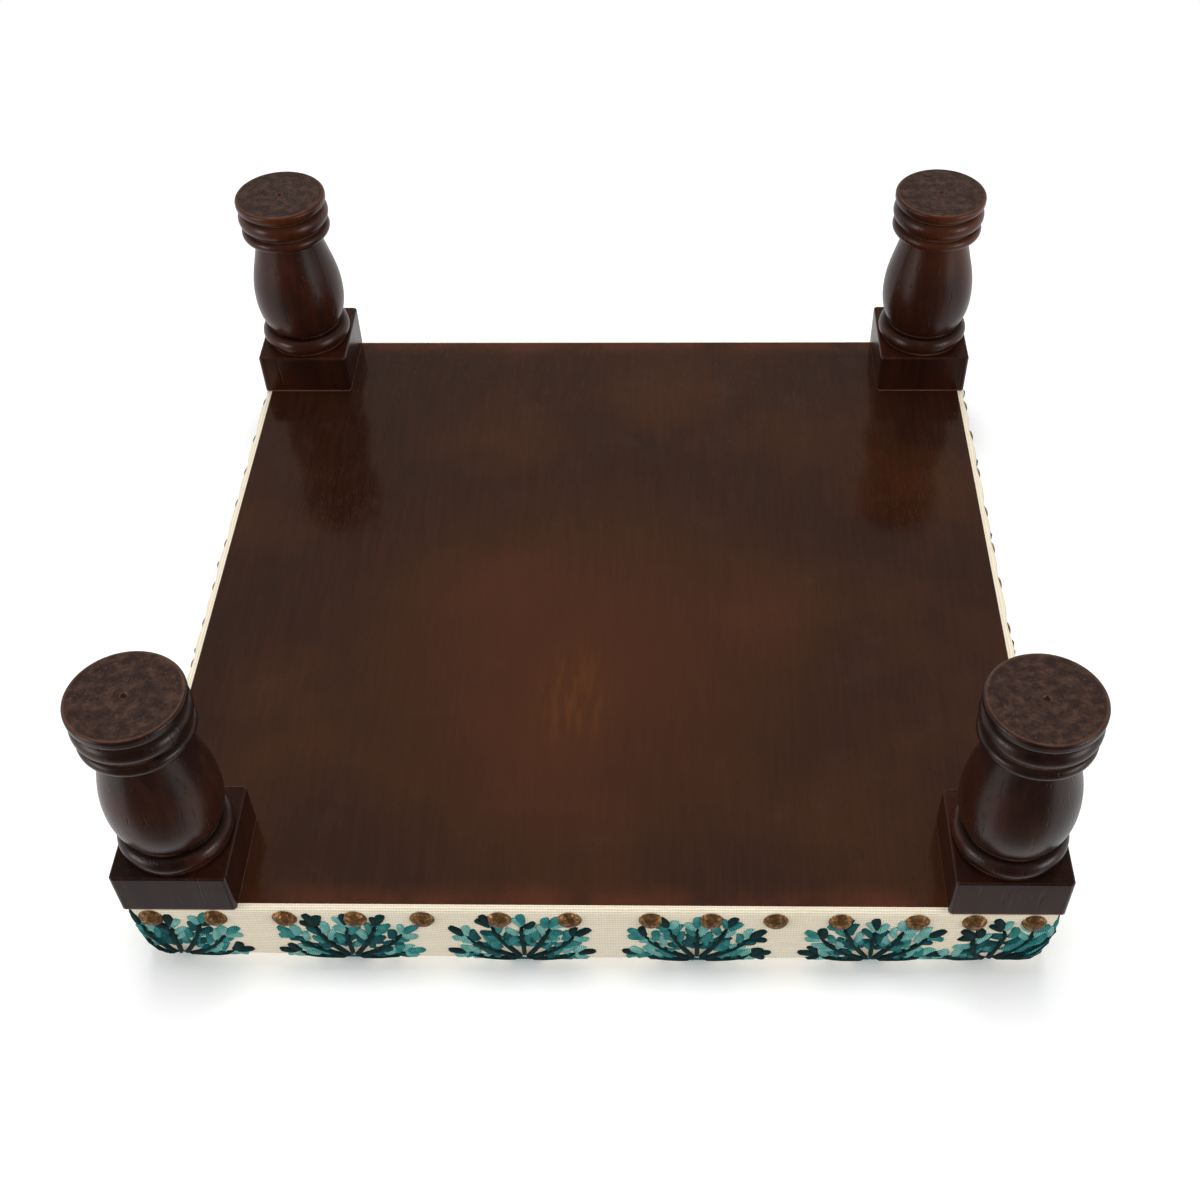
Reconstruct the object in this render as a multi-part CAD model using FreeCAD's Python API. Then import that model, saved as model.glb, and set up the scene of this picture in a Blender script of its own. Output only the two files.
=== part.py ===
"""Low square footstool: four turned legs under a board that carries a padded, nailed seat.

Millimetres, +Z up. The origin is on the floor, midway between the feet. The front is the -Y side.
"""
import FreeCAD, Part
import math
import os

V = FreeCAD.Vector
UP = V(0, 0, 1)

# Overall sizes
seat_span = 406.0            # over the outer faces of two neighbouring legs
leg_height = 113.0           # floor to the underside of the seat board

# Leg: a square block above a turned baluster
leg_stock = 50.0             # side of the square block
block_height = 23.0
block_corner_round = 2.0     # upright edges of the block
block_rim_round = 1.0        # edges round the block's lower face
foot_pad_height = 5.6
foot_rim_round = 1.6
ring_height = 9.2            # broad bead above the foot pad
collar_height = 6.2          # narrow bead above the broad one
bead_groove_width = 0.9      # between the beads
neck_cove_height = 2.4       # from the collar's edge in to the neck
vase_belly_drop = 18.6       # from the torus down to the widest part of the baluster
vase_neck_slope = 12.0       # degrees from upright, just above the neck
vase_shoulder_slope = 38.0   # degrees from upright, just under the torus
torus_height = 9.4
torus_seat_height = 0.8      # short cylinder between the torus and the block
lathe_mark_radius = 1.6      # dimple left in the foot by the lathe's centre
lathe_mark_depth = 1.8
# Depth that each part of the turning is cut below the square stock's faces
foot_cut = 0.8
ring_cut = 0.6
collar_cut = 1.0
bead_groove_cut = 3.4
neck_cut = 7.4
vase_cut = 0.3
vase_shoulder_cut = 5.4
torus_cut = 0.3
torus_seat_cut = 2.6

# Seat board
board_thickness = 18.0
board_lower_rim_round = 0.8

# Padding and cover, wrapped over the board's edge
foam_thickness = 24.4        # at the middle of a side
wadding_thickness = 1.4
cover_thickness = 1.2
cover_setback = 0.8          # cover's side face behind the legs' outer faces
crown_rise = 4.0             # of the seat's middle above the middle of a side
cover_edge_round = 9.0       # round the top
corner_over_edge = 0.6       # by how much the upright corners are rounder than that
corner_softening = 10.0      # gained by the upright corners between the board's top and the seat's

# Upholstery nails
nail_head_radius = 5.5
nail_head_height = 3.0
nail_shank_radius = 0.7
nail_shank_length = 11.0
nail_tip_length = 2.5
nail_edge_gap = 2.1          # from the cover's lower edge up to the heads
long_row_margin = 10.4       # from the seat's corner to the first nail, front and back
short_row_margin = 25.2      # the same, left and right
# How far each nail was set from an even spacing, by hand, from the left end of its side
long_row_drift = (1.0, -3.0, -8.0, -4.5, -6.0, -7.5, -11.0, -5.0, -4.0, 0.0, 0.0, 1.0, 2.0, 0.5)
short_row_drift = (0.0, 2.0, -1.5, 1.0, 3.0, 1.5, -2.0, 0.5, 2.5, -1.0, -2.5, 1.0, 0.0)

# Leg fixings, hidden under the padding
dowel_radius = 6.0
dowel_in_leg = 21.0
dowel_hole_spare = 1.0       # depth left at each end of the dowel
wood_over_dowel = 6.0        # left in the board above the dowel's hole
dowel_fit = 0.05             # radial
dowel_end_chamfer = 1.0
screw_radius = 2.25
screw_length = 45.0
screw_head_radius = 4.5
screw_head_height = 2.6
screw_tip_length = 5.0
screw_slot_width = 1.0
screw_slot_depth = 1.2
screw_board_clearance = 0.25  # radial, in the board
screw_spread = 24.0          # between a leg's two screws, along the diagonal

# Worked-out places
board_bottom = leg_height
board_top = board_bottom + board_thickness
leg_axis = seat_span / 2 - leg_stock / 2
block_bottom = leg_height - block_height
dowel_bottom = leg_height - dowel_in_leg
dowel_top = board_top - wood_over_dowel - dowel_hole_spare
screw_tip = board_top - screw_length
wrap_thickness = cover_thickness + wadding_thickness
cover_half = seat_span / 2 - cover_setback
cover_corner_radius = cover_edge_round + corner_over_edge
board_half = cover_half - wrap_thickness
board_corner_radius = cover_corner_radius - wrap_thickness
crown_radius = (cover_half ** 2 + crown_rise ** 2) / (2 * crown_rise)
crown_top = board_top + foam_thickness + wrap_thickness + crown_rise
nail_height = board_bottom + nail_edge_gap + nail_head_radius
cut_over = 1.0               # how far a cutting solid runs past the face it opens
tolerance = 1e-4

LEGS = {
    "front_left": (-1, -1),
    "front_right": (1, -1),
    "back_left": (-1, 1),
    "back_right": (1, 1),
}
# Each side's turn about Z from the front, and the margin and hand-set drift of its nails
SIDES = {
    "front": (0, long_row_margin, long_row_drift),
    "right": (90, short_row_margin, short_row_drift),
    "back": (180, long_row_margin, long_row_drift),
    "left": (270, short_row_margin, short_row_drift),
}


def at(x, z):
    return V(x, 0, z)


def leaning(degrees):
    """Upward direction in the XZ plane that leans outwards by an angle."""
    return V(math.sin(math.radians(degrees)), 0, math.cos(math.radians(degrees)))


def line(start, end):
    return Part.LineSegment(start, end).toShape()


def arc(start, middle, end):
    return Part.Arc(start, middle, end).toShape()


def quarter_round(centre_x, centre_z, radius, start):
    """Quarter of a circle in the XZ plane, anticlockwise from an angle in degrees."""
    turns = [math.radians(start + step) for step in (0, 45, 90)]
    return arc(*[at(centre_x + radius * math.cos(t), centre_z + radius * math.sin(t)) for t in turns])


def turned(edges, bottom, top):
    """Solid of revolution about Z, from edges that run from the axis at one height to the axis at another."""
    outline = Part.Wire(edges + [line(at(0, top), at(0, bottom))])
    return Part.Face(outline).revolve(V(0, 0, 0), UP, 360)


def upright_cylinder(radius, bottom, top, x, y):
    return Part.makeCylinder(radius, top - bottom, V(x, y, bottom), UP)


def lower_rim(shape):
    """The edges round a shape's lower face."""
    return [e for e in shape.Edges if e.BoundBox.ZMax < shape.BoundBox.ZMin + tolerance]


def upright_edges(box):
    return [e for e in box.Edges if e.BoundBox.ZLength > tolerance]


def rounded_slab(half, corner, bottom, top, corner_gain=0.0):
    """Square slab centred on Z, with rounded upright edges whose radius may grow towards the top."""
    slab = Part.makeBox(2 * half, 2 * half, top - bottom, V(-half, -half, bottom))
    if corner_gain:
        return slab.makeFillet(corner, corner + corner_gain, upright_edges(slab))
    return slab.makeFillet(corner, upright_edges(slab))


def bead(foot_radius, top_radius, widest, bottom, top):
    return arc(at(foot_radius, bottom), at(widest, (bottom + top) / 2), at(top_radius, top))


def turned_to(cut):
    """Radius of the turning where it is cut this deep below the stock's faces."""
    return leg_stock / 2 - cut


def leg_turning():
    """The turned part of a leg, from the floor up to the block."""
    ring_bottom = foot_pad_height + bead_groove_width
    ring_top = ring_bottom + ring_height
    collar_bottom = ring_top + bead_groove_width
    collar_top = collar_bottom + collar_height
    neck = collar_top + neck_cove_height
    torus_top = block_bottom - torus_seat_height
    torus_bottom = torus_top - torus_height
    foot = turned_to(foot_cut)
    foot_flat = foot - foot_rim_round
    groove = turned_to(bead_groove_cut)
    pad_shoulder = foot - groove
    neck_radius = turned_to(neck_cut)
    collar_edge = (turned_to(collar_cut) + neck_radius) / 2
    shoulder = turned_to(vase_shoulder_cut)
    torus_seat = turned_to(torus_seat_cut)

    vase = Part.BSplineCurve()
    vase.interpolate(
        Points=[
            at(neck_radius, neck),
            at(turned_to(vase_cut), torus_bottom - vase_belly_drop),
            at(shoulder, torus_bottom),
        ],
        Tangents=[leaning(vase_neck_slope), UP, leaning(-vase_shoulder_slope)],
        TangentFlags=[True, True, True],
    )
    edges = [
        line(at(0, 0), at(foot_flat, 0)),
        quarter_round(foot_flat, foot_rim_round, foot_rim_round, -90),
        line(at(foot, foot_rim_round), at(foot, foot_pad_height - pad_shoulder)),
        quarter_round(groove, foot_pad_height - pad_shoulder, pad_shoulder, 0),
        line(at(groove, foot_pad_height), at(groove, ring_bottom)),
        bead(groove, groove, turned_to(ring_cut), ring_bottom, ring_top),
        line(at(groove, ring_top), at(groove, collar_bottom)),
        bead(groove, collar_edge, turned_to(collar_cut), collar_bottom, collar_top),
        line(at(collar_edge, collar_top), at(neck_radius, neck)),
        vase.toShape(),
        bead(shoulder, torus_seat, turned_to(torus_cut), torus_bottom, torus_top),
        line(at(torus_seat, torus_top), at(torus_seat, block_bottom)),
        line(at(torus_seat, block_bottom), at(0, block_bottom)),
    ]
    return turned(edges, 0, block_bottom)


def leg_block():
    """The square block between the turning and the board, with eased edges."""
    block = rounded_slab(leg_stock / 2, block_corner_round, block_bottom, leg_height)
    return block.makeFillet(block_rim_round, lower_rim(block))


def leg_place(side_x, side_y):
    return side_x * leg_axis, side_y * leg_axis


def screw_places(side_x, side_y):
    """The two screws of a leg lie on the diagonal that runs across the seat's corner."""
    reach = screw_spread / 2 * math.sqrt(0.5)
    x, y = leg_place(side_x, side_y)
    return [(x + side_x * reach, y - side_y * reach), (x - side_x * reach, y + side_y * reach)]


def leg(side_x, side_y):
    x, y = leg_place(side_x, side_y)
    mark = Part.makeCone(lathe_mark_radius, 0, lathe_mark_depth, V(0, 0, 0), UP)
    body = leg_turning().fuse(leg_block()).removeSplitter().cut(mark)
    body.translate(V(x, y, 0))
    open_top = leg_height + cut_over
    holes = [upright_cylinder(dowel_radius, dowel_bottom - dowel_hole_spare, open_top, x, y)]
    for screw_x, screw_y in screw_places(side_x, side_y):
        holes.append(upright_cylinder(screw_radius, screw_tip, open_top, screw_x, screw_y))
    return body.cut(holes)


def leg_dowel(side_x, side_y):
    pin = upright_cylinder(dowel_radius - dowel_fit, dowel_bottom, dowel_top, *leg_place(side_x, side_y))
    rims = [e for e in pin.Edges if e.Closed]
    return pin.makeChamfer(dowel_end_chamfer, rims)


def wood_screw(x, y):
    """Countersunk slotted screw, driven down from the board's top face."""
    neck = board_top - screw_head_height
    point = screw_tip + screw_tip_length
    profile = [
        line(at(0, screw_tip), at(screw_radius, point)),
        line(at(screw_radius, point), at(screw_radius, neck)),
        line(at(screw_radius, neck), at(screw_head_radius, board_top)),
        line(at(screw_head_radius, board_top), at(0, board_top)),
    ]
    slot_length = 2 * (screw_head_radius + cut_over)
    slot = Part.makeBox(
        slot_length,
        screw_slot_width,
        screw_slot_depth + cut_over,
        V(-slot_length / 2, -screw_slot_width / 2, board_top - screw_slot_depth),
    )
    screw = turned(profile, screw_tip, board_top).cut(slot)
    screw.translate(V(x, y, 0))
    return screw


def seat_core():
    """The crowned block that gives the seat's outside when it is swelled by the edge round."""
    half = cover_half - cover_edge_round
    corner = cover_corner_radius - cover_edge_round
    lower = rounded_slab(half, corner, board_bottom - 2 * cover_edge_round, board_top)
    upper = rounded_slab(half, corner, board_top, crown_top, corner_softening)
    crown = Part.makeSphere(crown_radius - cover_edge_round)
    crown.rotate(V(0, 0, 0), V(0, 1, 0), 90)
    crown.translate(V(0, 0, crown_top - crown_radius))
    return lower.fuse(upper).removeSplitter().common(crown)


def seat_form(inset, bottom):
    """The seat's outside, drawn in by an even thickness, from a given height up to its crowned top."""
    swelled = seat_core().makeOffsetShape(cover_edge_round - inset, tolerance, join=0)
    below = Part.makeBox(2 * seat_span, 2 * seat_span, bottom, V(-seat_span, -seat_span, 0))
    return swelled.cut(below)


def side_place(along):
    """Point and outward direction on the cover's front, this far from its middle, or on round its corner."""
    straight = cover_half - cover_corner_radius
    beyond = max(abs(along) - straight, 0.0)
    angle = math.copysign(beyond / cover_corner_radius, along)
    flat = along - math.copysign(beyond, along)
    out = V(math.sin(angle), -math.cos(angle), 0)
    return V(flat, -straight, nail_height) + out * cover_corner_radius, out


def nail_places(margin, drift):
    reach = cover_half - margin
    pitch = 2 * reach / (len(drift) - 1)
    return [side_place(n * pitch - reach + moved) for n, moved in enumerate(drift)]


def on_side(shape, turn):
    return shape.rotate(V(0, 0, 0), UP, turn)


def upholstery_nail(place, out):
    """Domed head seated on the cover, with a pointed shank that runs into the board's edge."""
    dome_radius = (nail_head_radius ** 2 + nail_head_height ** 2) / (2 * nail_head_height)
    half_angle = math.asin(nail_head_radius / dome_radius) / 2
    dome_fall = dome_radius * (1 - math.cos(half_angle))
    dome_middle = at(dome_radius * math.sin(half_angle), nail_head_height - dome_fall)
    point = nail_tip_length - nail_shank_length
    profile = [
        line(at(0, -nail_shank_length), at(nail_shank_radius, point)),
        line(at(nail_shank_radius, point), at(nail_shank_radius, 0)),
        line(at(nail_shank_radius, 0), at(nail_head_radius, 0)),
        arc(at(nail_head_radius, 0), dome_middle, at(0, nail_head_height)),
    ]
    nail = turned(profile, -nail_shank_length, nail_head_height)
    nail.Placement = FreeCAD.Placement(place, FreeCAD.Rotation(UP, out))
    return nail


def nail_hole(place, out):
    mouth = place + out * cut_over
    return Part.makeCylinder(nail_shank_radius, nail_shank_length + cut_over, mouth, out * -1)


def side_pieces(make, turn, margin, drift):
    """One piece or hole for each nail of a side."""
    return [on_side(make(place, out), turn) for place, out in nail_places(margin, drift)]


def all_nail_holes():
    return [hole for row in SIDES.values() for hole in side_pieces(nail_hole, *row)]


def seat_board(nail_holes):
    board = rounded_slab(board_half, board_corner_radius, board_bottom, board_top)
    board = board.makeFillet(board_lower_rim_round, lower_rim(board))
    holes = list(nail_holes)
    open_bottom = board_bottom - cut_over
    dowel_hole_top = dowel_top + dowel_hole_spare
    screw_hole_radius = screw_radius + screw_board_clearance
    for sides in LEGS.values():
        holes.append(upright_cylinder(dowel_radius, open_bottom, dowel_hole_top, *leg_place(*sides)))
        for x, y in screw_places(*sides):
            holes.append(upright_cylinder(screw_hole_radius, open_bottom, board_top, x, y))
            holes.append(countersink(x, y))
    return board.cut(holes)


def countersink(x, y):
    """Cone that a screw head fills, carried on above the board's face."""
    slope = (screw_head_radius - screw_radius) / screw_head_height
    return Part.makeCone(
        screw_radius,
        screw_head_radius + slope * cut_over,
        screw_head_height + cut_over,
        V(x, y, board_top - screw_head_height),
        UP,
    )


def foam_pad():
    return seat_form(wrap_thickness, board_top)


def wadding_layer(nail_holes):
    """Fibre layer over the foam and down the board's edge, resting on the cover's turned-in hem."""
    outside = seat_form(cover_thickness, board_bottom + cover_thickness)
    inside = seat_form(wrap_thickness, board_bottom)
    return outside.cut([inside] + nail_holes)


def seat_cover(nail_holes):
    """Cloth over the whole pad, with a hem turned in under the wadding as far as the board's edge."""
    outside = seat_form(0.0, board_bottom)
    inside = seat_form(cover_thickness, board_bottom + cover_thickness)
    board_room = rounded_slab(board_half, board_corner_radius, board_bottom - cut_over, board_top)
    return outside.cut([inside, board_room] + nail_holes)


def export(name, shape):
    shape.exportStep(os.path.join("parts", name + ".step"))


def main():
    os.makedirs("parts", exist_ok=True)
    nail_holes = all_nail_holes()
    export("seat_board", seat_board(nail_holes))
    export("foam_pad", foam_pad())
    export("wadding_layer", wadding_layer(nail_holes))
    export("seat_cover", seat_cover(nail_holes))
    for name, sides in LEGS.items():
        export("leg_" + name, leg(*sides))
        export("leg_dowel_" + name, leg_dowel(*sides))
        export("leg_screws_" + name, Part.makeCompound([wood_screw(x, y) for x, y in screw_places(*sides)]))
    for name, row in SIDES.items():
        export("upholstery_nails_" + name, Part.makeCompound(side_pieces(upholstery_nail, *row)))


main()
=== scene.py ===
"""A low square footstool: dark turned legs, a board and a thin seat in embroidered cream cloth.

The stool stands upright in its frame. The main camera looks up at it from below, upside down, so that the
picture shows it lying on its seat.
"""
import bpy
import math
import random
from mathutils import Matrix, Vector
from mathutils.bvhtree import BVHTree


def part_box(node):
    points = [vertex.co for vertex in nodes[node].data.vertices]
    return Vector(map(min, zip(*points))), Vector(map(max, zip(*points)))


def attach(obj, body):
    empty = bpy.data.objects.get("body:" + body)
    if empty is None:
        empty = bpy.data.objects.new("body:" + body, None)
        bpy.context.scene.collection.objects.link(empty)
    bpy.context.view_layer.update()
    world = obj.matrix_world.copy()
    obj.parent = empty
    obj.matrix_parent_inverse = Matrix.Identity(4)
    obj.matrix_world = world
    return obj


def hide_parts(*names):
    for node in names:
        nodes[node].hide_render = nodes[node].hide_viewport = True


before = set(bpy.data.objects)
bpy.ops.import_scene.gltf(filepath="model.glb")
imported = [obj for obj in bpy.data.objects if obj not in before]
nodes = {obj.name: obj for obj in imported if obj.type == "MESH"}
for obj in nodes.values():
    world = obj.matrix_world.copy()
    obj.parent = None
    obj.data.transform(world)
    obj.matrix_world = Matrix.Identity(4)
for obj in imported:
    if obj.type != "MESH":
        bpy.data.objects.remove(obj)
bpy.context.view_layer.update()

board_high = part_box("seat_board")[1]
cover_low, cover_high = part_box("seat_cover")
leg_low, leg_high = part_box("leg_front_left")

LEGS = ("front_left", "front_right", "back_left", "back_right")
SIDES = ("front", "right", "back", "left")

# Seat, in metres
seat_half = cover_high.x
hem_height = cover_low.z
seat_top = cover_high.z
board_half = board_high.x
board_top = board_high.z
edge_round = 0.009
corner_round = 0.005
corner_softening = 0.014
crown_rise = 0.004
cloth_thickness = 0.0012
leg_axis = -(leg_low.x + leg_high.x) / 2

# Leg, in metres
beads_low = 0.0044         # where the foot pad rounds in to the first groove
beads_high = 0.0266        # the neck above the foot's beads
block_height = 0.023
torus_height = 0.0102      # with the short neck between it and the block
block_low = leg_high.z - block_height
torus_low = block_low - torus_height
groove_radius = 0.0228     # the turning gets painted shade where it is cut deeper than this
foot_rim_radius = 0.0220   # the foot's face is rubbed outside this
foot_rim_height = 0.004
highlight_line_width = 0.0009        # painted highlight line where the block meets the board

# Painted light and wear on the board's underside, in metres
# painted pool of warm light over the board's middle
lit_pool_middle = (0.010, -0.060)
lit_pool_reach = 0.18
# painted patch of light near the front middle, streaked along the grain
light_patch_middle = (0.012, -0.082)
light_patch_reach = 0.030
light_patch_stretch = 0.6         # less than 1 for a painted light patch that is long along the grain
rubbed_rim = 0.014         # along the front and back edges

# Cover
grid_steps = 40            # from the middle of the seat to its edge
edge_steps = 5             # over the rounded top edge
side_steps = 9             # up the side
corner_crowding = 0.6      # 0 for even columns, 1 for the most at the corners
start_inset = 0.0007       # the cloth starts this far inside
cloth_ease = 0.025         # share by which it is cut large
side_swell = 0.0030        # how far the filling may press it out
top_swell = 0.0006
filling_pressure = 4.0
cloth_frames = 20
nail_hold = 0.0056         # cloth this close to a nail stays put
hem_roll = 0.0020          # how far the cloth has turned up by the hem's outer edge
hem_hold = 0.0025
loose_margin = 0.045       # the flat of the seat stays put further in than this
side_fullness = 0.0021     # how far it stands out low down, on the left and right
full_height = 0.010        # above the hem, and then it falls away
full_fade = 0.016
full_start = 0.020         # from the front, and then it grows
full_growth = 0.030
full_corner = 0.012        # it falls away round the back corners
nail_dimple = 0.0035       # width of the slope round a nail

# Embroidery
sprigs_round = 21          # round the seat's sides
sprig_pitch = 8 * seat_half / sprigs_round
first_sprig = -0.123       # from the middle of the front
sprig_base = 0.0392        # up the side from the hem to the root of a sprig
stitch_lift = 0.0011
stem_lift = 0.0017
stitch_sink = 0.0004
probe_start = 0.02         # the cloth is looked for from this far out
probe_reach = 0.05

# Weave, in metres
weft_pitch = 0.0014
warp_pitch = 0.0012
stitch_pitch = 0.0009

# Stage: two levels of light, then sizes in metres
room_light = 0.56
paper_white = 1.15
floor_reach = 3.0
seat_rest_reach = 0.9
card_low = -2.2
card_high = 4.0
card_shade_low = 0.4       # the front card turns paler above this
under_card_reach = 6.0
front_card_reach = 2.4
front_card_place = -2.5
# Each softbox: its name, place, size and power, and whether the polish mirrors it
SOFTBOXES = (
    ("under_key", (0.0, 0.25, -1.7), 0.9, 16.0, False),
    ("left_softbox", (-1.5, -0.9, -0.35), 0.7, 9.0, True),
    ("right_softbox", (1.5, -0.9, -0.35), 0.7, 9.0, True),
    ("over_key", (0.5, 1.0, 1.8), 1.6, 18.0, False),
)

crown_radius = (seat_half ** 2 + crown_rise ** 2) / (2 * crown_rise)
crown_centre = seat_top - crown_radius


def tint(red, green, blue):
    """A screen colour from 0 to 255 as a linear colour."""
    def linear(level):
        share = level / 255
        return share / 12.92 if share <= 0.04045 else ((share + 0.055) / 1.055) ** 2.4
    return (linear(red), linear(green), linear(blue), 1.0)


class Value:
    """A node's output, so that shader maths reads as arithmetic."""

    def __init__(self, finish, socket):
        self.finish = finish
        self.socket = socket

    def _math(self, operation, first, second):
        return self.finish.node("Math", {"operation": operation}, {0: first, 1: second})

    def __add__(self, other):
        return self._math("ADD", self, other)

    def __radd__(self, other):
        return self._math("ADD", other, self)

    def __sub__(self, other):
        return self._math("SUBTRACT", self, other)

    def __rsub__(self, other):
        return self._math("SUBTRACT", other, self)

    def __mul__(self, other):
        return self._math("MULTIPLY", self, other)

    def __rmul__(self, other):
        return self._math("MULTIPLY", other, self)

    def __truediv__(self, other):
        return self._math("DIVIDE", self, other)

    def __pow__(self, other):
        return self._math("POWER", self, other)

    def __abs__(self):
        return self._math("ABSOLUTE", self, 0.0)

    def sine(self):
        return self._math("SINE", self, 0.0)

    def larger(self, other):
        return self._math("MAXIMUM", self, other)

    def between(self, low, high):
        """0 at low and 1 at high, eased and kept within that."""
        return self.finish.node(
            "MapRange",
            {"interpolation_type": "SMOOTHSTEP"},
            {"Value": self, "From Min": low, "From Max": high},
        )


class Finish:
    """The node tree of a material or of the world, while it is being made."""

    def __init__(self, owner):
        owner.use_nodes = True
        self.owner = owner
        self.tree = owner.node_tree
        self.tree.nodes.clear()

    def node(self, kind, settings, inputs, output=0):
        made = self.tree.nodes.new("ShaderNode" + kind)
        for name, setting in settings.items():
            if name == "stops":
                self._set_stops(made.color_ramp, setting)
            else:
                setattr(made, name, setting)
        for name, value in inputs.items():
            if isinstance(value, Value):
                self.tree.links.new(value.socket, made.inputs[name])
            else:
                made.inputs[name].default_value = value
        return Value(self, made.outputs[output]) if made.outputs else None

    def _set_stops(self, ramp, stops):
        while len(ramp.elements) < len(stops):
            ramp.elements.new(1.0)
        for element, (place, colour) in zip(ramp.elements, stops):
            element.position = place
            element.color = colour

    def place(self):
        """Where a point is on the object, in metres."""
        return self.node("TexCoord", {}, {}, "Object")

    def cloth_place(self):
        """Where a point is on the flat cloth or along a stitch, in metres."""
        return self.node("TexCoord", {}, {}, "UV")

    def stretched(self, vector, scales):
        return self.node("VectorMath", {"operation": "MULTIPLY"}, {0: vector, 1: scales})

    def parts(self, vector):
        return [self.node("SeparateXYZ", {}, {0: vector}, axis) for axis in "XYZ"]

    def noise(self, vector, scale, detail=3.0, roughness=0.55, distortion=0.0):
        levels = {"Vector": vector, "Scale": scale, "Detail": detail, "Roughness": roughness}
        levels["Distortion"] = distortion
        return self.node("TexNoise", {}, levels)

    def ramp(self, value, stops):
        return self.node("ValToRGB", {"stops": stops}, {0: value})

    def mix(self, share, first, second, blend="MIX"):
        settings = {"data_type": "RGBA", "blend_type": blend, "clamp_factor": True}
        return self.node("Mix", settings, {0: share, 6: first, 7: second}, 2)

    def bump(self, height, distance, strength=1.0):
        return self.node("Bump", {}, {"Height": height, "Distance": distance, "Strength": strength})

    def surface(self, inputs):
        shader = self.node("BsdfPrincipled", {}, inputs)
        self.node("OutputMaterial", {}, {"Surface": shader})
        return self.owner


def new_finish(name):
    return Finish(bpy.data.materials.new(name))


def dress(piece, material):
    piece.data.materials.clear()
    piece.data.materials.append(material)


# Wood

def stained_wood(name, grain, stains, warm, warm_share):
    """Dark walnut stain with fine pores: the finish so far, its colour, where it is rubbed, its relief."""
    wood = new_finish(name)
    place = wood.place()
    along_grain = wood.stretched(place, grain)
    figure = wood.noise(along_grain, 1.0, 5.0, 0.6, 0.4)
    pores = wood.noise(wood.stretched(along_grain, (5.0, 5.0, 5.0)), 1.0, 2.0, 0.5).between(0.60, 0.74)
    cloudy = wood.noise(place, 11.0, 3.0, 0.5)
    rubbed = wood.noise(place, 40.0, 4.0, 0.6)
    stain = wood.ramp(figure, list(zip((0.28, 0.50, 0.66, 0.80), stains)))
    warmed = wood.mix(cloudy.between(0.42, 0.70) * warm_share, stain, warm)
    dusted = wood.mix(rubbed.between(0.55, 0.80) * 0.12, warmed, tint(78, 60, 54))
    return wood, wood.mix(pores * 0.45, dusted, tint(22, 12, 10)), rubbed, figure * 0.4 - pores


def away_from(x, y, middle, stretch=1.0):
    """Distance from a point on the flat, counted less along the grain where stretch is under 1."""
    return ((x - middle[0]) ** 2.0 + ((y - middle[1]) * stretch) ** 2.0) ** 0.5


def board_wood():
    """The board's fine grain from front to back, with a painted pool of warm light over its middle and a
    painted streaked patch of light near the front, rubbed along two edges.
    """
    stains = (tint(35, 18, 11), tint(40, 21, 13), tint(46, 24, 14), tint(37, 19, 12))
    warm = tint(84, 44, 20)
    wood, stained, rubbed, relief = stained_wood("board_stain", (420.0, 34.0, 420.0), stains, warm, 0.28)
    x, y = wood.parts(wood.place())[:2]
    in_lit_pool = (lit_pool_reach - away_from(x, y, lit_pool_middle)).between(0.0, lit_pool_reach)
    in_light_patch = (light_patch_reach - away_from(x, y, light_patch_middle, light_patch_stretch)).between(0.0, light_patch_reach)
    # painted pool of warm light over the middle of the board
    with_lit_pool = wood.mix(in_lit_pool * 0.52, stained, tint(84, 42, 17))
    streaks = wood.noise(wood.stretched(wood.place(), (260.0, 40.0, 1.0)), 1.0, 2.0).between(0.40, 0.66)
    # painted streaked patch of warm light near the front middle
    light_patch_streaks = in_light_patch * (0.25 + streaks * 0.75)
    marked = wood.mix(light_patch_streaks * 0.26, with_lit_pool, tint(116, 68, 20))
    rim = (abs(y) - (board_half - rubbed_rim)).between(0.0, 0.012) * rubbed.between(0.25, 0.65)
    return wood.surface({
        "Base Color": wood.mix(rim * 0.45, marked, tint(96, 46, 26)),
        "Roughness": 0.07 + 0.11 * rubbed,
        "Normal": wood.bump(relief, 0.00003),
    })


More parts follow.
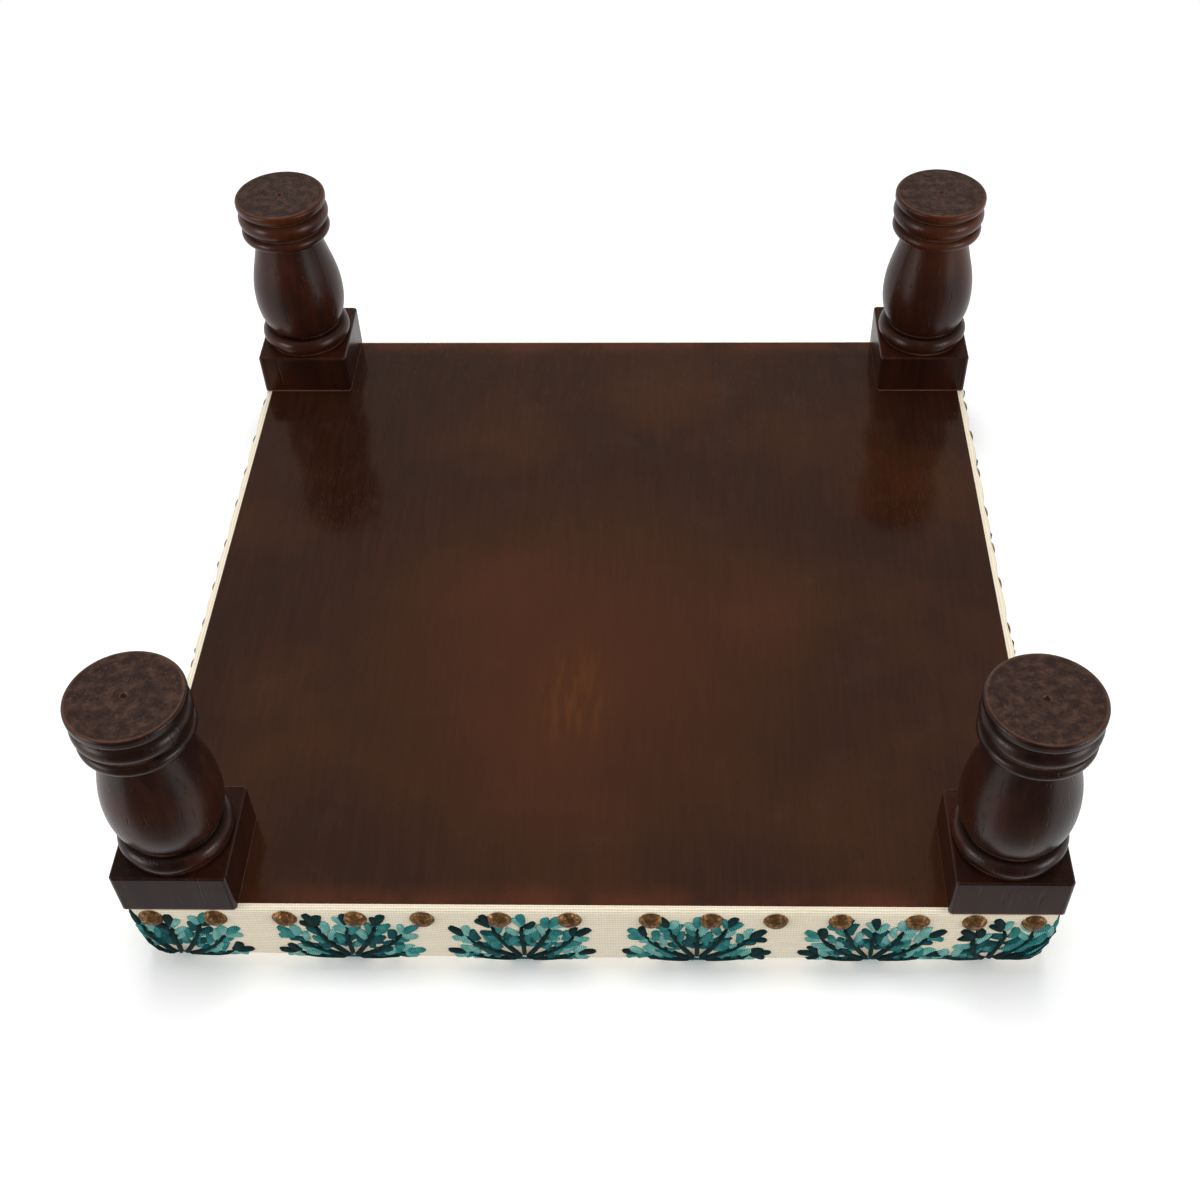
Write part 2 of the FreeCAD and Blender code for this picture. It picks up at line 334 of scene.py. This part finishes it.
def leg_wood(name, stains, warm_share):
    """Long grain up the leg, painted shade in its grooves and over the block, rubbed edges with painted
    highlight, a painted highlight line where the block meets the board, and end grain with turning marks on
    the foot.
    """
    warm = tint(94, 44, 20)
    wood, stained, rubbed, relief = stained_wood(name, (130.0, 130.0, 9.0), stains, warm, warm_share)
    place = wood.place()
    x, y, z = wood.parts(place)
    from_axis = ((abs(x) - leg_axis) ** 2.0 + (abs(y) - leg_axis) ** 2.0) ** 0.5
    normal = wood.node("NewGeometry", {}, {}, "Normal")
    softened = wood.node("Bevel", {"samples": 6}, {"Radius": 0.0016})
    edges = 1.0 - wood.node("VectorMath", {"operation": "DOT_PRODUCT"}, {0: normal, 1: softened}, "Value")
    # rubbed edges: partly wear and partly a painted highlight along the edges and bead crests
    worn = edges.between(0.015, 0.12) * rubbed.between(0.25, 0.60)
    facing_down = (0.0 - wood.parts(normal)[2]).between(0.75, 0.95)
    foot_face = facing_down * (foot_rim_height - z).between(0.0, 0.003)
    turning_marks = (from_axis * 2900.0 + rubbed * 16.0).sine() * 0.5 + 0.5
    mottled = wood.noise(place, 210.0, 4.0, 0.65).between(0.38, 0.72)
    scuffed = wood.mix(mottled, tint(44, 29, 25), tint(78, 55, 44))
    specks = wood.noise(place, 900.0, 2.0, 0.5).between(0.62, 0.74)
    marked = wood.mix(turning_marks * 0.14, scuffed, tint(36, 23, 20))
    speckled = wood.mix(specks * 0.5, marked, tint(112, 90, 76))
    at_rim = (from_axis - foot_rim_radius).between(0.0, 0.0012)
    rimmed = wood.mix(at_rim * rubbed * 0.6, speckled, tint(120, 84, 62))
    by_foot = (z - beads_low).between(0.0, 0.0008) * (beads_high - z).between(0.0, 0.0015)
    by_block = (z - torus_low).between(-0.0012, 0.0) * (block_low - z).between(-0.0008, -0.0002)
    # painted shade in the deep grooves by the foot and by the block, and over the whole block
    shaded_grooves = (groove_radius - from_axis).between(0.0, 0.0012) * (by_foot + by_block)
    shaded_block = (z - block_low).between(-0.0005, 0.0005)
    with_painted_shade = wood.mix((shaded_grooves * 0.9).larger(shaded_block * 0.45), stained, tint(18, 6, 4))
    # painted highlight line along the top of the block, by the board
    highlight_line = (z - (hem_height - highlight_line_width)).between(0.0, 0.0005)
    turned = wood.mix(foot_face, wood.mix(highlight_line * 0.5, with_painted_shade, tint(116, 80, 62)), rimmed)
    return wood.surface({
        # edges painted paler, partly as wear and partly as highlight
        "Base Color": wood.mix(worn * 0.75, turned, tint(130, 92, 70)),
        "Roughness": 0.19 + 0.22 * rubbed + foot_face * 0.30,
        "Specular IOR Level": 0.25,
        "Normal": wood.bump(relief + foot_face * (turning_marks + mottled), 0.00008),
    })


def dowel_wood():
    beech = new_finish("dowel_beech")
    grain = beech.noise(beech.stretched(beech.place(), (300.0, 300.0, 14.0)), 1.0, 4.0, 0.6)
    return beech.surface({
        "Base Color": beech.mix(grain.between(0.35, 0.7), tint(196, 160, 118), tint(150, 112, 74)),
        "Roughness": 0.7 + grain * 0.2,
        "Normal": beech.bump(grain, 0.0002),
    })


# Metal

def antique_brass():
    brass = new_finish("antique_brass")
    place = brass.place()
    tarnish = brass.noise(place, 420.0, 4.0, 0.65)
    hammered = brass.node("TexVoronoi", {"feature": "SMOOTH_F1"}, {"Vector": place, "Scale": 620.0})
    worn = tarnish.between(0.42, 0.68)
    return brass.surface({
        "Base Color": brass.mix(worn, tint(94, 66, 38), tint(176, 132, 82)),
        "Metallic": 0.70 + worn * 0.25,
        "Roughness": 0.62 - worn * 0.16,
        "Normal": brass.bump(hammered + tarnish * 0.6, 0.0004),
    })


def screw_steel():
    steel = new_finish("screw_steel")
    scratches = steel.noise(steel.stretched(steel.place(), (200.0, 200.0, 2400.0)), 1.0, 2.0, 0.5)
    return steel.surface({
        "Base Color": steel.mix(scratches, tint(168, 168, 164), tint(206, 206, 202)),
        "Metallic": 1.0,
        "Roughness": 0.28 + scratches * 0.2,
    })


# Filling

def foam_filling():
    foam = new_finish("foam")
    cells = foam.node("TexVoronoi", {}, {"Vector": foam.place(), "Scale": 900.0})
    return foam.surface({
        "Base Color": foam.mix(cells, tint(238, 226, 178), tint(222, 204, 150)),
        "Roughness": 0.95,
        "Normal": foam.bump(cells, 0.0006),
    })


def fibre_wadding():
    fibre = new_finish("wadding")
    tufts = fibre.noise(fibre.place(), 240.0, 6.0, 0.7, 1.5)
    return fibre.surface({
        "Base Color": fibre.mix(tufts, tint(232, 230, 224), tint(250, 249, 246)),
        "Roughness": 0.95,
        "Normal": fibre.bump(tufts, 0.0012),
    })


# Cloth and thread

def cream_cloth():
    """Slubby cream weave, with ribs along the weft and painted shade in the hollows between threads."""
    cloth = new_finish("cream_cloth")
    flat = cloth.cloth_place()
    across, up = cloth.parts(flat)[:2]
    slub = cloth.noise(cloth.stretched(flat, (90.0, 700.0, 1.0)), 1.0, 3.0, 0.6)
    soiled = cloth.noise(flat, 26.0, 3.0, 0.55)
    weft = (up * (math.tau / weft_pitch) + slub * 3.0).sine() * 0.5 + 0.5
    warp = (across * (math.tau / warp_pitch) + slub * 2.0).sine() * 0.5 + 0.5
    weave = weft * 0.65 + warp * 0.35
    # painted shade: the weave is darker where its threads dip
    weave_with_shade = cloth.mix(weave.between(0.1, 0.8), tint(230, 213, 182), tint(252, 243, 221))
    aged = cloth.mix(soiled.between(0.45, 0.8) * 0.35, weave_with_shade, tint(232, 214, 180))
    return cloth.surface({
        "Base Color": cloth.mix(slub.between(0.5, 0.75) * 0.4, aged, tint(251, 242, 222)),
        "Roughness": 0.92,
        "Sheen Weight": 0.15,
        "Specular IOR Level": 0.2,
        "Normal": cloth.bump(weave + slub * 0.6, 0.00045, 0.8),
    })


def yarn(name, shade, light, groove_shade):
    """Wool worked in slanting satin stitches, with painted shade in the grooves between them."""
    wool = new_finish(name)
    flat = wool.cloth_place()
    along, across = wool.parts(flat)[:2]
    stitches = ((along + across * 0.7) * (math.tau / stitch_pitch)).sine() * 0.5 + 0.5
    fuzz = wool.noise(flat, 1500.0, 2.0, 0.6)
    patches = wool.noise(flat, 160.0, 2.0, 0.5)
    body = wool.mix(patches.between(0.38, 0.66), shade, light)
    return wool.surface({
        # the grooves between stitches take the painted shade colour
        "Base Color": wool.mix(stitches.between(0.0, 0.55), groove_shade, body),
        "Roughness": 0.9,
        "Sheen Weight": 0.04,
        "Specular IOR Level": 0.12,
        "Normal": wool.bump(stitches + fuzz * 0.5, 0.0004),
    })


# Seat cover

def corner_at(height):
    """The cover's corner radius in plan, which grows above the board."""
    share = max(height - board_top, 0.0) / (seat_top - board_top)
    return corner_round + corner_softening * share


def ring_point(corner, side, share, inset=0.0):
    """Point on one side's outline, or drawn in from it, from a corner's middle at -1 to the next at 1."""
    straight = seat_half - corner
    reach = abs(share) * (straight + corner * math.pi / 4)
    turn = max(reach - straight, 0.0) / corner
    x = math.copysign(min(reach, straight) + (corner - inset) * math.sin(turn), share)
    y = -straight - (corner - inset) * math.cos(turn)
    return Matrix.Rotation(math.radians(90 * side), 2) @ Vector((x, y))


def column_share(step, steps):
    """Where a column of the cloth lies along a side, from -1 to 1, closer together towards the corners."""
    even = step / steps
    return corner_crowding * math.sin(even * math.pi / 2) + (1 - corner_crowding) * even


def crown_height(x, y, inset=0.0):
    """Height of the seat's crowned top, or of the same surface drawn in."""
    return crown_centre + math.sqrt((crown_radius - inset) ** 2 - x * x - y * y)


def edge_height(x, y):
    """Where the cover's side starts to turn over into the top."""
    return crown_height(x, y, edge_round)


edge_corner = corner_at(edge_height(seat_half, seat_half))


def side_point(side, share, height):
    x, y = ring_point(corner_at(height), side, share)
    return Vector((x, y, height))


def edge_core(side, share):
    """Middle of the rounding along the top edge."""
    x, y = ring_point(edge_corner, side, share, edge_round)
    return Vector((x, y, edge_height(x, y)))


def edge_point(side, share, lean):
    """Point on the rounded top edge, from the side at 0 to the top at 1."""
    core = edge_core(side, share)
    out = (ring_point(edge_corner, side, share) - core.xy).normalized()
    turn = lean * math.pi / 2
    return core + Vector((*(out * math.cos(turn)), math.sin(turn))) * edge_round


def cover_rows(side, share):
    """One column of the cover, from the hem's inner edge up over the top edge."""
    start = edge_point(side, share, 0.0)
    hem = ring_point(corner_round, side, share, seat_half - board_half)
    rows = [Vector((hem.x, hem.y, hem_height))]
    low = hem_height + hem_roll
    for step in range(side_steps):
        height = low + (start.z - low) * step / side_steps
        rows.append(side_point(side, share, height))
    for step in range(edge_steps):
        rows.append(edge_point(side, share, step / edge_steps))
    return rows


def top_point(column, row):
    """Point of the seat's top for a place in a square grid, which rounds towards the corners."""
    ring = max(abs(column), abs(row))
    if ring == 0:
        return Vector((0.0, 0.0, seat_top))
    if -row == ring:
        side, step = 0, column
    elif column == ring:
        side, step = 1, row
    elif row == ring:
        side, step = 2, -column
    else:
        side, step = 3, -row
    x, y = ring_point(edge_corner, side, column_share(step, ring), edge_round) * (ring / grid_steps)
    return Vector((x, y, crown_height(x, y)))


def loose_middles(mesh):
    """The middle of each loose piece of a mesh."""
    owner = list(range(len(mesh.vertices)))

    def root(n):
        while owner[n] != n:
            owner[n] = owner[owner[n]]
            n = owner[n]
        return n

    for edge in mesh.edges:
        owner[root(edge.vertices[0])] = root(edge.vertices[1])
    groups = {}
    for vertex in mesh.vertices:
        groups.setdefault(root(vertex.index), []).append(vertex.co)
    return [sum(group, Vector()) / len(group) for group in groups.values()]


def nail_points():
    """The middle of each nail."""
    points = []
    for side in SIDES:
        points += loose_middles(nodes["upholstery_nails_" + side].data)
    return points


def cover_mesh():
    """The cover as one cloth: a grid over the top and columns down each side, with flat-cloth coordinates."""
    mesh = bpy.data.meshes.new("seat_cloth")
    points = []
    faces = []
    flat = []
    grid = {}
    span = range(-grid_steps, grid_steps + 1)
    for row in span:
        for column in span:
            grid[column, row] = len(points)
            points.append(top_point(column, row))
    for row in span[:-1]:
        for column in span[:-1]:
            near = [grid[column, row], grid[column + 1, row]]
            far = [grid[column + 1, row + 1], grid[column, row + 1]]
            face = near + far
            faces.append(face)
            flat.append([(points[n].x, points[n].y) for n in face])
    rim = []
    for side in range(4):
        for step in range(-grid_steps, grid_steps):
            ahead = ((step, -grid_steps), (grid_steps, step))
            behind = ((-step, grid_steps), (-grid_steps, -step))
            rim.append((side, step, grid[(ahead + behind)[side]]))
    bands = []
    for side, step, top in rim:
        column = []
        for point in cover_rows(side, column_share(step, grid_steps)):
            column.append(len(points))
            points.append(point)
        bands.append(column + [top])
    for n, here in enumerate(bands):
        step = rim[n][1]
        there = bands[(n + 1) % len(bands)]
        left = column_share(step, grid_steps) * seat_half
        right = column_share(step + 1, grid_steps) * seat_half
        up = 0.0
        for row in range(len(here) - 1):
            rise = (points[here[row + 1]] - points[here[row]]).length
            faces.append([here[row], there[row], there[row + 1], here[row + 1]])
            flat.append([(left, up), (right, up), (right, up + rise), (left, up + rise)])
            up += rise
    mesh.from_pydata(points, [], faces)
    layer = mesh.uv_layers.new(name="flat_cloth")
    for polygon, corners in zip(mesh.polygons, flat):
        for loop, place in zip(polygon.loop_indices, corners):
            layer.data[loop].uv = place
    mesh.shade_smooth()
    mesh.validate()
    return mesh


def share_of(reach, width):
    return min(max(reach / width, 0.0), 1.0)


def fullness(place, nails):
    """How far the cloth stands out low down on the left and right, less so at the nails."""
    up = place.z - hem_height
    low = 1 - share_of(up - full_height, full_fade)
    back = share_of(place.y + seat_half - full_start, full_growth)
    beside = share_of(abs(place.x) - seat_half + full_corner, full_corner)
    if up < hem_roll / 2 or low * back * beside == 0:
        return 0.0
    nearest = min((place - nail).length for nail in nails)
    clear = share_of(nearest - nail_hold, nail_dimple)
    if up < hem_hold:
        clear = (1 + clear) / 2
    return side_fullness * low * back * beside * clear


def filled_cover():
    """The cloth with its thickness, swelled by the filling."""
    cover = bpy.data.objects.new("seat_cushion", cover_mesh())
    bpy.context.scene.collection.objects.link(cover)
    rest = [(vertex.co.copy(), vertex.normal.copy()) for vertex in cover.data.vertices]
    swell = pressed_out(cover, rest)
    nails = nail_points()
    for vertex, (place, out), rise in zip(cover.data.vertices, rest, swell):
        level = Vector((out.x, out.y, 0.0)).normalized()
        vertex.co = place + out * rise + level * max(fullness(place, nails) - rise, 0.0)
    dress(cover, cream_cloth())
    finer = cover.modifiers.new("finer", "SUBSURF")
    finer.levels = 1
    finer.render_levels = 1
    thick = cover.modifiers.new("thickness", "SOLIDIFY")
    thick.thickness = cloth_thickness
    thick.offset = -1.0
    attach(cover, "root")
    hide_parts("seat_cover")
    return cover


def pressed_out(cover, rest):
    """How far each point of the cloth is pressed out between the nails, the hem and the flat of the seat."""
    mesh = cover.data
    nails = nail_points()
    held = []
    for vertex, (place, out) in zip(mesh.vertices, rest):
        on_flat = out.z > 0.9 and max(abs(place.x), abs(place.y)) < seat_half - loose_margin
        at_nail = any((place - nail).length < nail_hold for nail in nails)
        if on_flat or at_nail or place.z < hem_height + hem_hold:
            held.append(vertex.index)
        else:
            vertex.co = place - out * start_inset
    pins = cover.vertex_groups.new(name="held")
    pins.add(held, 1.0, "REPLACE")
    cloth = cover.modifiers.new("filling", "CLOTH")
    cloth.settings.use_pressure = True
    cloth.settings.uniform_pressure_force = filling_pressure
    cloth.settings.vertex_group_mass = pins.name
    cloth.settings.effector_weights.gravity = 0.0
    cloth.settings.shrink_min = -cloth_ease
    for step in range(1, cloth_frames + 1):
        bpy.context.scene.frame_set(step)
    shaped = cover.evaluated_get(bpy.context.evaluated_depsgraph_get()).to_mesh()
    swell = []
    for vertex, (place, out) in zip(shaped.vertices, rest):
        limit = side_swell + (top_swell - side_swell) * max(out.z, 0.0)
        swell.append(min(max((vertex.co - place).dot(out), 0.0), limit))
    cover.modifiers.remove(cloth)
    cover.vertex_groups.clear()
    bpy.context.scene.frame_set(1)
    return evened(mesh, swell)


def evened(mesh, levels):
    """Each point's level averaged with its neighbours', twice over."""
    for turn in range(2):
        sums = list(levels)
        counts = [1] * len(levels)
        for edge in mesh.edges:
            first, second = edge.vertices
            sums[first] += levels[second]
            sums[second] += levels[first]
            counts[first] += 1
            counts[second] += 1
        levels = [total / count for total, count in zip(sums, counts)]
    return levels


# Embroidery

class Stitching:
    """Raised strokes of wool laid on the cover."""

    def __init__(self, cover):
        shaped = cover.evaluated_get(bpy.context.evaluated_depsgraph_get())
        self.ground = BVHTree.FromObject(shaped, bpy.context.evaluated_depsgraph_get())
        self.points = []
        self.faces = []
        self.flat = []
        self.shades = []
        self.chance = random.Random(7)

    def on_cloth(self, place, out):
        """The cloth under a place, seen along its outward direction."""
        hit, normal = self.ground.ray_cast(place + out * probe_start, -out, probe_reach)[:2]
        return (hit, normal) if hit else (place, out)

    def stroke(self, where, start, end, bend, width, shade, blunt, thickness=stitch_lift):
        """A stroke from start to end in the sprig's own plane, which where() lays on the seat."""
        rows = 7
        columns = 5
        first = len(self.points)
        run = end - start
        across = Vector((-run.y, run.x)).normalized()
        offset = self.chance.uniform(0.0, 10.0)
        for row in range(rows):
            u = row / (rows - 1)
            middle = start + run * u + across * (bend * 4 * u * (1 - u))
            swell = max(math.sin(math.pi * (0.06 + 0.88 * u)), 0.0) ** blunt
            for column in range(columns):
                v = 2 * column / (columns - 1) - 1
                spot = middle + across * (v * width / 2 * swell)
                place, out = where(spot)
                ground, normal = self.on_cloth(place, out)
                dome = math.sqrt(max(1 - v * v, 0.0)) * math.sqrt(swell)
                rim = abs(v) == 1 or row in (0, rows - 1)
                lift = -stitch_sink if rim else thickness * dome
                self.points.append(ground + normal * lift)
                self.flat.append((offset + u * run.length, v * width / 2 * swell))

        def at(row, column):
            return first + row * columns + column

        last = rows - 1
        side = columns - 1
        for row in range(last):
            for column in range(side):
                near = [at(row, column), at(row, column + 1)]
                far = [at(row + 1, column + 1), at(row + 1, column)]
                self.faces.append(near + far)
        underside = [at(row, 0) for row in range(last)]
        underside += [at(last, column) for column in range(side)]
        underside += [at(row, side) for row in range(last, 0, -1)]
        underside += [at(0, column) for column in range(side, 0, -1)]
        self.faces.append(underside)
        self.shades += [shade] * (last * side + 1)

    def piece(self, name, finishes):
        mesh = bpy.data.meshes.new(name)
        mesh.from_pydata(self.points, [], self.faces)
        layer = mesh.uv_layers.new(name="stitch")
        for polygon, shade in zip(mesh.polygons, self.shades):
            polygon.material_index = shade
            for loop in polygon.loop_indices:
                layer.data[loop].uv = self.flat[mesh.loops[loop].vertex_index]
        mesh.shade_smooth()
        for finish in finishes:
            mesh.materials.append(finish)
        made = bpy.data.objects.new(name, mesh)
        bpy.context.scene.collection.objects.link(made)
        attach(made, "root")
        return made


STEM, DEEP, TEAL, AQUA = range(4)
# Each stem of a sprig: its lean in degrees, its length and how far it bows, in metres
SPRIG_STEMS = (
    (0, 0.0265, 0.0),
    (-26, 0.0300, 0.0012),
    (26, 0.0300, -0.0012),
    (-50, 0.0320, 0.0022),
    (50, 0.0320, -0.0022),
    (-78, 0.0255, 0.0020),
    (78, 0.0255, -0.0020),
)
# Leaves in pairs along a stem: the share of its length, and the shades to choose from
LEAF_RINGS = (
    (0.38, (DEEP, TEAL)),
    (0.56, (DEEP, TEAL, AQUA)),
    (0.75, (DEEP, TEAL, AQUA, AQUA)),
    (0.94, (STEM, TEAL, AQUA, AQUA)),
)
FOOT_LEANS = (130, 155, 180, 205, 230)
leaf_lean = 40
leaf_length = 0.0098
leaf_width = 0.0054
stem_width = 0.0026
petals = 5
petal_start = 0.0016
petal_end = 0.0098
petal_width = 0.0046
top_sprig_shift = 0.013    # a sprig's root behind the middle of its place on the top


def heading(degrees):
    """Direction in a sprig's plane, where 0 points to its tip."""
    return Vector((math.sin(math.radians(degrees)), math.cos(math.radians(degrees))))


def sprig(stitching, where):
    """A fan of dark stems from one root, with paler leaves along them and mostly dark tips."""
    chance = stitching.chance
    root = Vector((0.0, 0.0))
    for lean, length, bow in SPRIG_STEMS:
        tip = heading(lean) * length * chance.uniform(0.95, 1.05)
        stitching.stroke(where, root, tip, bow, stem_width, STEM, 0.25, stem_lift)
        for share, shades in LEAF_RINGS:
            knot = tip * share
            for turn in (-leaf_lean, leaf_lean):
                reach = leaf_length * (1.15 - 0.3 * share) * chance.uniform(0.9, 1.1)
                end = knot + heading(lean + turn + chance.uniform(-14, 14)) * reach
                bend = chance.uniform(-0.0016, 0.0016)
                width = leaf_width * chance.uniform(0.75, 1.15)
                stitching.stroke(where, knot, end, bend, width, chance.choice(shades), 0.4)
        end = tip + heading(lean) * leaf_length * 0.9
        stitching.stroke(where, tip * 0.97, end, 0.0, leaf_width, chance.choice((STEM, STEM, TEAL)), 0.4)
    for lean in FOOT_LEANS:
        stitching.stroke(where, root, heading(lean) * leaf_length, 0.0, leaf_width, DEEP, 0.4)


def blossom(stitching, where):
    """Short petals round a bare middle, paler and darker by turns."""
    for petal in range(petals):
        out = heading(360 / petals * petal)
        shade = TEAL if petal % 2 else AQUA
        stitching.stroke(where, out * petal_start, out * petal_end, 0.0, petal_width, shade, 0.4)


def on_side(middle):
    """Lays a sprig's plane on the seat's side, round the corners too, with its tip towards the hem.

    The middle is counted along the hem from the middle of the front.
    """
    def where(spot):
        up = sprig_base - spot.y
        corner = corner_at(hem_height + up)
        quarter = seat_half - corner + corner * math.pi / 4
        turns = (middle + spot.x) / quarter + 1
        side = int(turns // 2)
        share = turns - 2 * side - 1
        start = edge_point(side, share, 0.0).z - hem_height
        lean = min(max(up - start, 0.0) / edge_round * 2 / math.pi, 1.0)
        inward = max(up - start - edge_round * math.pi / 2, 0.0)
        out = edge_point(side, share, lean) - edge_core(side, share)
        place = edge_point(side, share, lean)
        if up < start:
            place = side_point(side, share, hem_height + up)
        flat = edge_point(side, share, 0.0) - edge_core(side, share)
        return place - flat.normalized() * inward, out.normalized()

    return where


def on_top(x, y, turn):
    """Lays a sprig's plane on the seat's top, with its tip turned by an angle from the front."""
    spin = Matrix.Rotation(turn, 2)

    def where(spot):
        flat = Vector((x, y)) + spin @ Vector((spot.x, -spot.y))
        return Vector((flat.x, flat.y, crown_height(*flat))), Vector((0.0, 0.0, 1.0))

    return where


def embroidery(cover):
    stitching = Stitching(cover)
    for n in range(sprigs_round):
        sprig(stitching, on_side(first_sprig + n * sprig_pitch))
    for column in range(-2, 3):
        for row in range(-2, 3):
            sprig(stitching, on_top(column * sprig_pitch, row * sprig_pitch + top_sprig_shift, 0.0))
    for column in (-1.5, -0.5, 0.5, 1.5):
        for row in (-1.5, -0.5, 0.5, 1.5):
            blossom(stitching, on_top(column * sprig_pitch, row * sprig_pitch, 0.0))
    # each wool below: its colour, a paler colour, and the painted shade in its stitch grooves
    return stitching.piece("embroidery", [
        yarn("stem_wool", tint(4, 44, 46), tint(8, 66, 66), tint(2, 22, 24)),
        yarn("deep_teal_wool", tint(6, 86, 90), tint(16, 114, 116), tint(4, 48, 52)),
        yarn("teal_wool", tint(40, 142, 141), tint(88, 178, 172), tint(18, 94, 96)),
        yarn("aqua_wool", tint(120, 198, 190), tint(176, 223, 213), tint(66, 148, 143)),
    ])


# Stage

def stage_panel(name, corners, finish):
    mesh = bpy.data.meshes.new(name)
    mesh.from_pydata(corners, [], [[0, 1, 2, 3]])
    panel = bpy.data.objects.new(name, mesh)
    bpy.context.scene.collection.objects.link(panel)
    dress(panel, finish)
    panel.visible_diffuse = False
    panel.visible_transmission = False
    panel.visible_shadow = False
    return panel


def paper(name, reach):
    """White paper that shows on its face alone and fades out towards its edge."""
    sheet = new_finish(name)
    x, y = sheet.parts(sheet.place())[:2]
    away = (x ** 2.0 + y ** 2.0) ** 0.5
    behind = sheet.node("NewGeometry", {}, {}, "Backfacing")
    face = sheet.node("BsdfDiffuse", {}, {"Color": (paper_white, paper_white, paper_white, 1.0)})
    clear = sheet.node("BsdfTransparent", {}, {})
    gone = behind.larger(away.between(reach * 0.3, reach * 0.9))
    shown = sheet.node("MixShader", {}, {0: gone, 1: face, 2: clear})
    sheet.node("OutputMaterial", {}, {"Surface": shown})
    return sheet.owner


def level_square(reach, height):
    near = [(-reach, -reach, height), (reach, -reach, height)]
    return near + [(reach, reach, height), (-reach, reach, height)]


def floor(name, reach, height, facing_up):
    corners = level_square(reach, height)
    if not facing_up:
        corners.reverse()
    stage_panel(name, corners, paper(name, reach)).visible_glossy = False


def grey_cards():
    """Cards far below and in front, out of sight, which keep the room's white out of the wood's polish."""
    across, place = front_card_reach, front_card_place
    front = [(across, place, card_low), (-across, place, card_low)]
    front += [(-across, place, card_high), (across, place, card_high)]
    under = level_square(under_card_reach, card_low)
    cards = (
        ("under_flag", under, tint(152, 136, 124), tint(152, 136, 124)),
        ("front_flag", front, tint(50, 44, 42), tint(180, 174, 172)),
    )
    for name, corners, shade, top_shade in cards:
        card = new_finish(name)
        rise = card.parts(card.place())[2].between(card_shade_low, card_high)
        grey = card.node("Emission", {}, {"Color": card.mix(rise, shade, top_shade)})
        card.node("OutputMaterial", {}, {"Surface": grey})
        stage_panel(name, corners, card.owner).visible_camera = False


def studio_world():
    """White where it is seen or mirrored, and a softer light on the surfaces."""
    world = bpy.data.worlds.new("studio")
    bpy.context.scene.world = world
    light = Finish(world)
    seen = light.node("LightPath", {}, {}, "Is Camera Ray")
    for ray in ("Is Glossy Ray", "Is Transmission Ray"):
        seen = seen.larger(light.node("LightPath", {}, {}, ray))
    white = (1.0, 1.0, 1.0, 1.0)
    strength = seen * (1 - room_light) + room_light
    room = light.node("Background", {}, {"Color": white, "Strength": strength})
    light.node("OutputWorld", {}, {"Surface": room})


def softbox(name, place, aim, size, power, mirrored):
    lamp = bpy.data.lights.new(name, "AREA")
    lamp.size = size
    lamp.energy = power
    made = bpy.data.objects.new(name, lamp)
    made.location = place
    made.rotation_euler = (Vector(aim) - Vector(place)).to_track_quat("-Z", "Y").to_euler()
    made.visible_glossy = mirrored
    bpy.context.scene.collection.objects.link(made)


def camera():
    """Below the front of the stool, looking up and back, and rolled over so that the legs point up."""
    image_width = 1200
    focal_pixels = 1539.9
    middle_pixel = (640, 680)
    place = Vector((-0.0338, -0.5630, -0.4501))
    look_up = math.radians(48.81)
    look_right = math.radians(1.72)
    tilt = math.radians(-1.12)
    data = bpy.data.cameras.new("camera")
    data.sensor_width = 36.0
    data.lens = data.sensor_width * focal_pixels / image_width
    data.shift_x = (image_width / 2 - middle_pixel[0]) / image_width
    data.shift_y = (middle_pixel[1] - image_width / 2) / image_width
    data.clip_start = 0.01
    made = bpy.data.objects.new("camera", data)
    made.location = place
    turn = Matrix.Rotation(-look_right, 3, "Z") @ Matrix.Rotation(math.pi / 2 + look_up, 3, "X")
    made.rotation_euler = (turn @ Matrix.Rotation(math.pi + tilt, 3, "Z")).to_euler()
    bpy.context.scene.collection.objects.link(made)
    bpy.context.scene.camera = made


def main():
    bpy.context.scene.view_settings.view_transform = "Standard"
    camera()
    studio_world()
    middle = (0.0, 0.0, hem_height)
    for name, place, size, power, mirrored in SOFTBOXES:
        softbox(name, place, middle, size, power, mirrored)
    floor("floor", floor_reach, 0.0, True)
    floor("seat_rest", seat_rest_reach, seat_top - crown_rise, False)
    grey_cards()
    dress(nodes["seat_board"], board_wood())
    dress(nodes["foam_pad"], foam_filling())
    dress(nodes["wadding_layer"], fibre_wadding())
    # front legs get a darker copy of the stain as painted shade; back legs get a warmer, redder copy with a
    # larger warm share as painted bounce light from the board
    front_shaded_stains = (tint(24, 12, 9), tint(34, 17, 12), tint(47, 24, 16), tint(28, 14, 11))
    back_bounce_lit_stains = (tint(34, 16, 10), tint(46, 21, 12), tint(60, 28, 15), tint(38, 18, 11))
    turned = {
        "front": leg_wood("front_leg_shaded_stain", front_shaded_stains, 0.30),
        "back": leg_wood("back_leg_bounce_lit_stain", back_bounce_lit_stains, 0.55),
    }
    beech = dowel_wood()
    steel = screw_steel()
    for leg in LEGS:
        dress(nodes["leg_" + leg], turned[leg.split("_")[0]])
        dress(nodes["leg_dowel_" + leg], beech)
        dress(nodes["leg_screws_" + leg], steel)
    brass = antique_brass()
    for side in SIDES:
        dress(nodes["upholstery_nails_" + side], brass)
    cover = filled_cover()
    embroidery(cover)


main()
